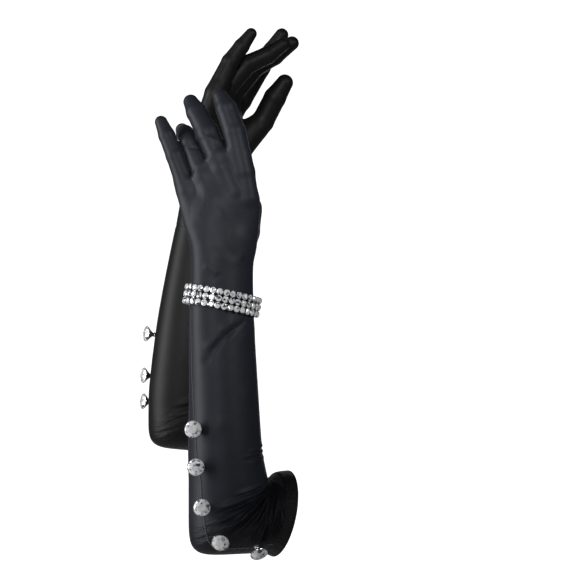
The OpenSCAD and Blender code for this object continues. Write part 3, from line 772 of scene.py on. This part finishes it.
def bend_hand_piece(piece, name, side, stand):
    """Bakes a hand piece's placement into its points. The joint it would bend at and the stretch it would
    bend over are worked out but not used.
    """
    if name in ("hand_back", "hand_palm", "thumb_gusset"):
        start, end, bodies = (-57.4, 0, 222), (-57.4, 0, 250), ("forearm", "hand")
    elif name.startswith("thumb"):
        _, m, i, t, _ = (np.array(q, float) for q in THUMBS[side])
        d, e = unit(i - m), unit(t - i)
        base = name.endswith("base")
        start, end = (m - 8 * d, m + 10 * d) if base else (i - 8 * e, i + 8 * e)
        bodies = ("hand", "thumb_base") if base else ("thumb_base", "thumb_tip")
    else:
        finger = HAND_FINGERS[side][FINGERS.index(name.split("_")[0])]
        k, p, d, cut, stop, _ = finger_span(finger)
        e = unit(np.subtract(finger[2], finger[1]))
        base = name.endswith("base")
        start, end = (k + cut * d, k + stop * d) if base else (p - 6 * unit(d + e), p + 8 * unit(d + e))
        bodies = ("hand", name) if base else (name.replace("tip", "base"), name)
    tuple(stand.place(start))
    tuple(stand.place(end))
    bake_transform(piece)


# ---- jewels ----
def islands(node):
    """The separate solids of a CAD node, each as its points in the row frame."""
    mesh = node.data
    co = np.zeros(len(mesh.vertices) * 3)
    mesh.vertices.foreach_get("co", co)
    co = co.reshape(-1, 3)
    _, same = np.unique(np.round(co, 6), axis=0, return_inverse=True)
    same = same.ravel()
    group = np.arange(same.max() + 1)
    edge = np.zeros(len(mesh.edges) * 2, int)
    mesh.edges.foreach_get("vertices", edge)
    edge = same[edge.reshape(-1, 2)]
    while True:
        low = np.minimum(group[edge[:, 0]], group[edge[:, 1]])
        new = group.copy()
        np.minimum.at(new, edge[:, 0], low)
        np.minimum.at(new, edge[:, 1], low)
        new = new[new]
        if (new == group).all():
            break
        group = new
    parts = group[same]
    return [co[parts == g] for g in np.unique(parts)]


def disc_seat(points, away_from):
    """The middle of a round solid and its axis, which points away from a point."""
    span = (points.max(0) + points.min(0)) / 2
    axis = np.linalg.svd(points - points.mean(0), full_matrices=False)[2][2]
    axis = axis * np.sign(axis @ (span - away_from))
    reach = points @ axis
    middle = span + axis * ((reach.max() + reach.min()) / 2 - span @ axis)
    return middle, axis


def brilliant(r, sides, depth, crown):
    """A round-cut stone, girdle at height 0: a table, stars, kites, girdle facets and a pavilion."""
    half = sides // 2
    rings = [
        (0.5 * r, crown, half, 0.5), (0.78 * r, 0.62 * crown, half, 0.0),
        (r, 0.12 * crown, sides, 0.0), (r, -0.08 * crown, sides, 0.0)]
    points = []
    for radius, height, count, shift in rings:
        for k in range(count):
            angle = (k + shift) * 2 * math.pi / count
            points.append((radius * math.cos(angle), radius * math.sin(angle), height))
    star, girdle, under, tip = half, 2 * half, 2 * half + sides, 2 * half + 2 * sides
    points.append((0, 0, -depth))
    faces = [list(range(half))]
    for k in range(half):
        nxt, before = (k + 1) % half, (k - 1) % half
        edge = [girdle + (2 * k + i) % sides for i in (-1, 0, 1)]
        faces.append([before, star + k, k])
        faces.append([k, star + k, edge[2], star + nxt])
        faces.append([star + k, edge[0], edge[1]])
        faces.append([star + k, edge[1], edge[2]])
    for k in range(sides):
        nxt = (k + 1) % sides
        faces.append([girdle + k, under + k, under + nxt, girdle + nxt])
        faces.append([under + k, tip, under + nxt])
    return np.array(points), faces


def turned(profile, count):
    """A solid of revolution about Z from (radius, height) pairs that start and end on the axis."""
    inner = profile[1:-1]
    angle = np.linspace(0, 2 * math.pi, count, endpoint=False)
    points = [(r * math.cos(a), r * math.sin(a), h) for r, h in inner for a in angle]
    m = len(inner)
    faces = grid_faces(m, count, True).tolist()
    low, high = len(points), len(points) + 1
    points += [(0, 0, profile[0][1]), (0, 0, profile[-1][1])]
    faces += [[low, (k + 1) % count, k] for k in range(count)]
    faces += [[high, (m - 1) * count + k, (m - 1) * count + (k + 1) % count] for k in range(count)]
    return np.array(points), faces


def claw(r, angle, foot, head, size):
    """A claw: a tapered prong that leans in over the stone's edge."""
    c, s = math.cos(angle), math.sin(angle)
    path = [(r, foot, size), (r * 1.07, 0.4 * head, size * 0.9), (r * 0.98, head, size * 0.75),
            (r * 0.86, head * 1.08, size * 0.5)]
    points, faces = [], []
    for radius, height, w in path:
        for du, dv in ((-1, -1), (1, -1), (1, 1), (-1, 1)):
            x, y = radius + 0.5 * w * dv, 0.6 * w * du
            points.append((x * c - y * s, x * s + y * c, height))
    for i in range(len(path) - 1):
        for k in range(4):
            n = (k + 1) % 4
            faces.append([4 * i + k, 4 * i + n, 4 * i + 4 + n, 4 * i + 4 + k])
    faces += [[3, 2, 1, 0], [len(points) - 4 + k for k in range(4)]]
    return np.array(points), faces


def stand_up(points, origin, axis):
    """Points drawn along +Z, moved to origin (mm) and stood along axis."""
    side_way = unit(np.cross(axis, [0.1, 0.2, 1.0] if abs(axis[2]) < 0.9 else [1.0, 0, 0]))
    other = np.cross(axis, side_way)
    return origin + points[:, :1] * side_way + points[:, 1:2] * other + points[:, 2:3] * axis


class World:
    """The row frame itself, for pieces that are placed by the CAD's own solids."""

    mirrored = False

    def place(self, p):
        """Millimetres as metres."""
        return 0.001 * np.asarray(p, float)


def jewel_object(name, parts, material, seed):
    """One object of flat facets from several parts, with a random value on each face."""
    points, faces = join_parts(parts)
    rng = np.random.default_rng(seed)
    # Each face's random value picks its painted glint tone where the crystal material reads it.
    shade = rng.random(len(faces))
    piece = mesh_object(name, World(), points, faces, smooth_faces=False,
                        values={"facet": ("FLOAT", "FACE", shade)})
    recalc(piece)
    dress(piece, material)
    return piece


# A button: its radius, how far the cup's floor lies under the middle of the CAD's stone, and the
# height of the girdle over that floor.
BUTTON_R = 8.25
BUTTON_SINK = 2.5
BUTTON_GIRDLE = 2.1
# The spine that the buttons face away from, and how low it may go.
SPINE_X = -52.0
SPINE_LOW = 2.0
# The bracelet: the middle of its oval, the lean of its axis towards +X, the radius of a stone, how
# far a cup's floor lies under the middle of the CAD's stone, the girdle over that floor, and how
# far apart two linked cups may stand.
BRACELET_AT = (-57.3, 0, 198)
BRACELET_SLANT = math.radians(11.3)
STONE_R = 2.95
STONE_SINK = 1.1
STONE_GIRDLE = 1.45
LINK_REACH = 7.0


def button_jewels(frame, side, group, body, inside, looks, seed):
    """The crystals and cups of one group of buttons, where the CAD's own solids stand."""
    plural = "s" if group == "forearm" else ""
    stones, cups = [], []
    node = frame["nodes"][f"{side}_{group}_crystal{plural}"]
    for solid in islands(node):
        middle, axis = disc_seat(solid, inside(solid.mean(0)))
        base = middle * 1000 - BUTTON_SINK * axis
        stone = brilliant(BUTTON_R - 0.6, 16, 2.2, 2.6)
        stones.append((stand_up(stone[0] + [0, 0, BUTTON_GIRDLE], base, axis), stone[1]))
        cup = turned([
            (0, -6.9), (2.3, -6.9), (2.5, -6.3), (1.9, -5.6), (2.1, -4.6), (3.4, -3.2), (5.2, -1.2),
            (7.2, 0.8), (7.9, 1.7), (8.1, 2.4), (7.9, 2.75), (7.55, 2.6), (7.45, 1.9), (4.6, 0.1),
            (0, 0.0)], 40)
        cups.append((stand_up(cup[0], base, axis), cup[1]))
    crystals = jewel_object(f"{side}_{group}_cut_crystals", stones, looks["crystal"], seed)
    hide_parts(node.name)
    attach(crystals, body)
    metal = jewel_object(f"{side}_{group}_cup_settings", cups, looks["setting"], seed + 50)
    soften(metal)
    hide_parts(f"{side}_{group}_cup{plural}")
    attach(metal, body)


def soften(piece):
    """Smooth shading with sharp edges above 35 degrees."""
    piece.data.polygons.foreach_set("use_smooth", np.ones(len(piece.data.polygons), bool))
    piece.data.set_sharp_from_angle(angle=math.radians(35))


def bracelet(frame, stand, looks):
    """The bracelet: each stone in a four-claw cup, with links between neighbours."""
    node = frame["nodes"]["bracelet_stones"]
    seats = []
    middle_line = stand.place([BRACELET_AT])[0]
    axis_line = unit(math.cos(BRACELET_SLANT) * stand.z + math.sin(BRACELET_SLANT) * stand.x)
    for solid in islands(node):
        m = solid.mean(0)
        foot = middle_line + axis_line * ((m - middle_line) @ axis_line)
        seats.append(disc_seat(solid, foot))
    rng = np.random.default_rng(7)
    stones, metal = [], []
    for middle, axis in seats:
        base = middle * 1000 - STONE_SINK * axis
        tilt = unit(axis + 0.05 * rng.standard_normal(3))
        gem = brilliant(STONE_R, 12, 1.3, 1.0)
        stones.append((stand_up(gem[0] + [0, 0, STONE_GIRDLE], base, tilt), gem[1]))
        cup = turned([(0, -0.5), (1.7, -0.5), (2.5, 0.2), (2.95, 1.1), (2.9, 1.3), (1.8, 0.4), (0, 0.3)], 16)
        metal.append((stand_up(cup[0], base, axis), cup[1]))
        for k in range(4):
            p, f = claw(2.9, k * math.pi / 2 + math.pi / 4, 0.2, 1.7, 0.42)
            metal.append((stand_up(p, base, axis), f))
    centres = np.array([m for m, _ in seats]) * 1000
    for i, (_, axis) in enumerate(seats):
        gap = np.linalg.norm(centres - centres[i], axis=1)
        for j in np.argsort(gap)[1:5]:
            if j > i and gap[j] < LINK_REACH:
                ends = centres[i] - STONE_SINK * axis, centres[j] - STONE_SINK * seats[j][1]
                metal.append(link(*ends, axis))
    gems = jewel_object("bracelet_cut_stones", stones, looks["crystal"], 11)
    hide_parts("bracelet_stones")
    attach(gems, "bracelet")
    band = jewel_object("bracelet_settings", metal, looks["setting"], 12)
    soften(band)
    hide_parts("bracelet_band")
    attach(band, "bracelet")


def link(a, b, axis):
    """A short bar between two cups."""
    run = unit(b - a)
    side_way = unit(np.cross(run, axis))
    lift = np.cross(side_way, run)
    points = [e + 0.55 * (u * side_way) + 0.4 * (v * lift)
              for e in (a + 1.6 * run, b - 1.6 * run) for u, v in ((-1, -1), (1, -1), (1, 1), (-1, 1))]
    faces = [[0, 1, 5, 4], [1, 2, 6, 5], [2, 3, 7, 6], [3, 0, 4, 7], [3, 2, 1, 0], [4, 5, 6, 7]]
    return np.array(points), faces


# ---- materials ----
class Nodes:
    """A node tree with a short way to add and join nodes."""

    def __init__(self, name):
        self.material = bpy.data.materials.new(name)
        self.material.use_nodes = True
        self.tree = self.material.node_tree
        self.tree.nodes.clear()

    def add(self, kind, inputs=None, **settings):
        """A node with its settings and inputs; an input may be a value or another node's output."""
        node = self.tree.nodes.new("ShaderNode" + kind)
        for key, value in settings.items():
            setattr(node, key, value)
        for key, value in (inputs or {}).items():
            if isinstance(value, bpy.types.NodeSocket):
                self.tree.links.new(value, node.inputs[key])
            else:
                node.inputs[key].default_value = value
        return node

    def maths(self, operation, a, b=0.0, c=0.0):
        """The result of one Math node."""
        return self.add("Math", {0: a, 1: b, 2: c}, operation=operation).outputs[0]

    def noise(self, where, scale, detail, roughness):
        """The value of one Noise node."""
        return self.add("TexNoise", {
            "Vector": where, "Scale": scale, "Detail": detail, "Roughness": roughness}).outputs["Fac"]

    def value(self, name, kind="Fac"):
        """A mesh attribute."""
        return self.add("Attribute", attribute_name=name).outputs[kind]

    def mixed(self, factor, a, b, blend="MIX"):
        """Two colours mixed by a factor."""
        node = self.add("Mix", data_type="RGBA", blend_type=blend)
        for index, value in ((0, factor), (6, a), (7, b)):
            if isinstance(value, bpy.types.NodeSocket):
                self.tree.links.new(value, node.inputs[index])
            else:
                node.inputs[index].default_value = value
        return node.outputs[2]

    def finish(self, shader):
        """Joins the shader to the output."""
        out = self.add("OutputMaterial")
        self.tree.links.new(shader.outputs[0], out.inputs[0])
        return self.material


def satin(name, base, shade, seam_lines=True):
    """Stretch satin, 90% nylon and 10% elastane, 0.3 mm warp ribs, with crushed streaks bumped where it is
    gathered and painted shade darkening the elbow's fan and the hem. base is the cloth's colour and shade
    the painted shade colour that is mixed in there."""
    m = Nodes(name)
    where = m.add("TexCoord").outputs["Object"]
    fan = m.add("SeparateXYZ", {0: m.value("fan", "Vector")})
    angle, reach, crush_and_painted_shade = fan.outputs[0], fan.outputs[1], fan.outputs[2]
    ribs = m.add("TexWave", {"Vector": where, "Scale": 520.0, "Distortion": 0.6, "Detail": 1.0},
                 wave_type="BANDS", bands_direction="DIAGONAL").outputs["Fac"]
    grain = m.noise(where, 900.0, 3.0, 0.6)
    cloud = m.noise(where, 28.0, 3.0, 0.55)
    streak_at = m.add("CombineXYZ", {
        0: m.maths("MULTIPLY", angle, 0.34), 1: m.maths("MULTIPLY", reach, 0.045), 2: 0.0}).outputs[0]
    streak = m.noise(streak_at, 1.0, 4.0, 0.6)
    seam = m.maths("ABSOLUTE", m.value("seam"))
    groove = m.maths("EXPONENT", m.maths("MULTIPLY", -5.0, m.maths("MULTIPLY", seam, seam)))
    lines = 0.35 if seam_lines else 0.0
    # Painted shade: the elbow's fan and the hem are mixed towards the darker shade colour.
    tone = m.mixed(m.maths("MULTIPLY", crush_and_painted_shade, 0.8), linear(base), linear(shade))
    tone = m.mixed(m.maths("MULTIPLY", m.maths("SUBTRACT", cloud, 0.4), 0.5), tone,
                   tuple(1.35 * c for c in linear(base)[:3]) + (1,))
    speck = m.maths("ADD", 0.72, m.maths("MULTIPLY", grain, 0.56))
    tone = m.mixed(1.0, tone, m.add("CombineColor", {0: speck, 1: speck, 2: speck}).outputs[0], "MULTIPLY")
    tone = m.mixed(m.maths("MULTIPLY", groove, lines), tone, (0.0, 0.0, 0.0, 1))
    height = m.maths("ADD", m.maths("MULTIPLY", ribs, 0.02), m.maths("MULTIPLY", grain, 0.03))
    height = m.maths("ADD", height, m.maths("MULTIPLY", cloud, 0.9))
    height = m.maths("ADD", height, m.maths("MULTIPLY", m.maths("MULTIPLY", streak, crush_and_painted_shade), 3.2))
    height = m.maths("SUBTRACT", height, m.maths("MULTIPLY", groove, lines))
    bump = m.add("Bump", {"Height": height, "Strength": 0.75, "Distance": 0.001})
    rough = m.maths("ADD", 0.42, m.maths("MULTIPLY", grain, 0.14))
    shader = m.add("BsdfPrincipled", {
        "Base Color": tone, "Roughness": rough, "Normal": bump.outputs[0], "Specular IOR Level": 0.22})
    return m.finish(shader)


def seam_thread():
    """Overlocked polyester thread, about 2.2 mm between stitches."""
    m = Nodes("overlocked polyester thread")
    where = m.add("TexCoord").outputs["Object"]
    stitches = m.add("TexWave", {"Vector": where, "Scale": 145.0, "Distortion": 1.0},
                     wave_type="BANDS", bands_direction="Z").outputs["Fac"]
    tone = m.mixed(stitches, linear("#15161b"), linear("#3a3c46"))
    bump = m.add("Bump", {"Height": stitches, "Strength": 0.8, "Distance": 0.0004})
    return m.finish(m.add("BsdfPrincipled", {
        "Base Color": tone, "Roughness": 0.5, "Normal": bump.outputs[0], "Sheen Weight": 0.2}))


def cut_glass():
    """Machine-cut lead glass with a silver foil behind it, with painted reflections: each facet's random
    value and small cells pick a painted glint tone, from near black to white, for its colour."""
    m = Nodes("foiled lead glass, painted glints")
    where = m.add("TexCoord").outputs["Object"]
    facet = m.value("facet")
    cells = m.add("TexVoronoi", {"Vector": where, "Scale": 430.0}, feature="F1")
    painted_sparkle_and_bump = m.add("SeparateXYZ", {0: cells.outputs["Color"]}).outputs[0]
    # Painted glints: the facet value and the cells pick a tone on the colour ramp.
    both = m.maths("ADD", m.maths("MULTIPLY", facet, 0.4), m.maths("MULTIPLY", painted_sparkle_and_bump, 0.6))
    ramp = m.add("ValToRGB", {"Fac": both})
    stops = [(0.0, "#15181d"), (0.26, "#5a5f68"), (0.4, "#e4e6ea"), (0.55, "#fdfdfe"), (1.0, "#ffffff")]
    while len(ramp.color_ramp.elements) < len(stops):
        ramp.color_ramp.elements.new(0.5)
    for element, (place, colour) in zip(ramp.color_ramp.elements, stops):
        element.position = place
        element.color = linear(colour)
    bump = m.add("Bump", {"Height": painted_sparkle_and_bump, "Strength": 0.35, "Distance": 0.0006})
    return m.finish(m.add("BsdfPrincipled", {
        "Base Color": ramp.outputs[0], "Metallic": 0.2, "Roughness": 0.05, "Normal": bump.outputs[0],
        "Coat Weight": 1.0, "Coat Roughness": 0.02}))


def plated_metal():
    """Rhodium-plated brass, polished, with faint casting marks."""
    m = Nodes("rhodium plated brass")
    where = m.add("TexCoord").outputs["Object"]
    marks = m.add("TexNoise", {"Vector": where, "Scale": 700.0, "Detail": 2.0}).outputs["Fac"]
    tone = m.mixed(marks, linear("#a9adb3"), linear("#e3e5e9"))
    bump = m.add("Bump", {"Height": marks, "Strength": 0.2, "Distance": 0.0002})
    rough = m.maths("ADD", 0.14, m.maths("MULTIPLY", marks, 0.14))
    return m.finish(m.add("BsdfPrincipled", {
        "Base Color": tone, "Metallic": 0.85, "Roughness": rough, "Normal": bump.outputs[0]}))


def white_paper(name, glow):
    """Seamless white background paper."""
    m = Nodes(name)
    return m.finish(m.add("BsdfPrincipled", {
        "Base Color": (0.9, 0.9, 0.9, 1), "Roughness": 0.9, "Emission Color": (1, 1, 1, 1),
        "Emission Strength": glow}))


def dress(piece, material):
    """Gives a piece its material."""
    piece.data.materials.clear()
    piece.data.materials.append(material)


# ---- stage, lights and camera ----
def sheet_of_paper(name, points, glow):
    """A flat part of the set."""
    mesh = bpy.data.meshes.new(name)
    mesh.from_pydata(points, [], [[0, 1, 2, 3]])
    plane = bpy.data.objects.new(name, mesh)
    bpy.context.scene.collection.objects.link(plane)
    mesh.materials.append(white_paper(name, glow))


def lamp(name, kind, place, target, power, **settings):
    """A light that stands at a place and faces a point."""
    data = bpy.data.lights.new(name, kind)
    data.energy = power
    for key, value in settings.items():
        setattr(data, key, value)
    light = bpy.data.objects.new(name, data)
    light.location = place
    light.rotation_euler = (Vector(target) - Vector(place)).to_track_quat("-Z", "Y").to_euler()
    bpy.context.scene.collection.objects.link(light)


def studio():
    """White paper behind, a large soft box on the left, two soft spots in front and a weak room."""
    sheet_of_paper("floor", [(-3, -3, -1.4), (3, -3, -1.4), (3, 4, -1.4), (-3, 4, -1.4)], 0.03)
    sheet_of_paper("backdrop", [(-1.6, 4, -1.4), (1.6, 4, -1.4), (1.6, 4, 2.0), (-1.6, 4, 2.0)], 1.0)
    lamp("key", "AREA", (-1.9, -0.35, 0.4), (0, 0.05, 0.2), 36,
         shape="RECTANGLE", size=0.8, size_y=1.6)
    lamp("side", "SPOT", (1.3, -1.4, 1.0), (-0.04, 0.0, 0.3), 75,
         spot_size=math.radians(24), spot_blend=1.0, shadow_soft_size=0.3)
    lamp("front", "SPOT", (-0.45, -2.2, 0.8), (-0.03, 0.0, 0.37), 100,
         spot_size=math.radians(21), spot_blend=1.0, shadow_soft_size=0.3)

    world = bpy.data.worlds.new("room")
    world.use_nodes = True
    world.node_tree.nodes["Background"].inputs[0].default_value = (1, 1, 1, 1)
    world.node_tree.nodes["Background"].inputs[1].default_value = 0.04
    bpy.context.scene.world = world
    bpy.context.scene.view_settings.view_transform = "Standard"


# Metres: how far the camera stands from the arm openings and how much it sees there.
EYE_AWAY = 1.8
VIEW_WIDTH = 0.5357


def camera():
    """Level with the middle of the gloves; the view is VIEW_WIDTH metres wide at their place."""
    data = bpy.data.cameras.new("camera")
    data.sensor_width = 36
    data.lens = data.sensor_width * EYE_AWAY / VIEW_WIDTH
    data.clip_end = 50
    eye = bpy.data.objects.new("camera", data)
    eye.location = (0.0065, -EYE_AWAY, 0.2097)
    eye.rotation_euler = (math.pi / 2, 0, 0)
    bpy.context.scene.collection.objects.link(eye)
    bpy.context.scene.camera = eye


def main():
    """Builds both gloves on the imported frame."""
    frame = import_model()
    camera()
    studio()
    looks = {
        # One satin in two copies: the left glove's lighter bluish base is its painted light tone and the
        # right glove's darker base is painted shade; each second colour is the painted shade mixed into the
        # elbow's fan.
        "satin_left": satin("satin knit, left, painted light tone", "#24262e", "#08090c"),
        "satin_right": satin("satin knit, right, painted shade tone", "#151516", "#09090a"),
        # The hems' bases are darker than the glove's cloth as painted shade, though the hem is the same
        # satin.
        "hem_left": satin("hem satin, left, painted shade", "#121317", "#0a0b0e", False),
        "hem_right": satin("hem satin, right, painted shade", "#121315", "#0a0b0c", False),
        "seam": seam_thread(), "crystal": cut_glass(), "setting": plated_metal()}
    for side in SIDES:
        stand = Stand(frame["record"], side)
        arm_pieces(side, stand, looks)
        hem_piece(side, stand, looks)
        hand_pieces(side, stand, looks)

        def spine(m, stand=stand):
            """The arm's middle line beside a button."""
            q = stand.back(m)
            return stand.place([(SPINE_X, 0, max(q[2], SPINE_LOW))])[0]

        seed = 100 if side == "left" else 200
        button_jewels(frame, side, "forearm", side + "_forearm", spine, looks, seed)
        button_jewels(frame, side, "elbow", side + "_elbow_cloth", spine, looks, seed + 1)
        button_jewels(frame, side, "cuff", side + "_sleeve", spine, looks, seed + 2)
    bracelet(frame, Stand(frame["record"], "left"), looks)


main()
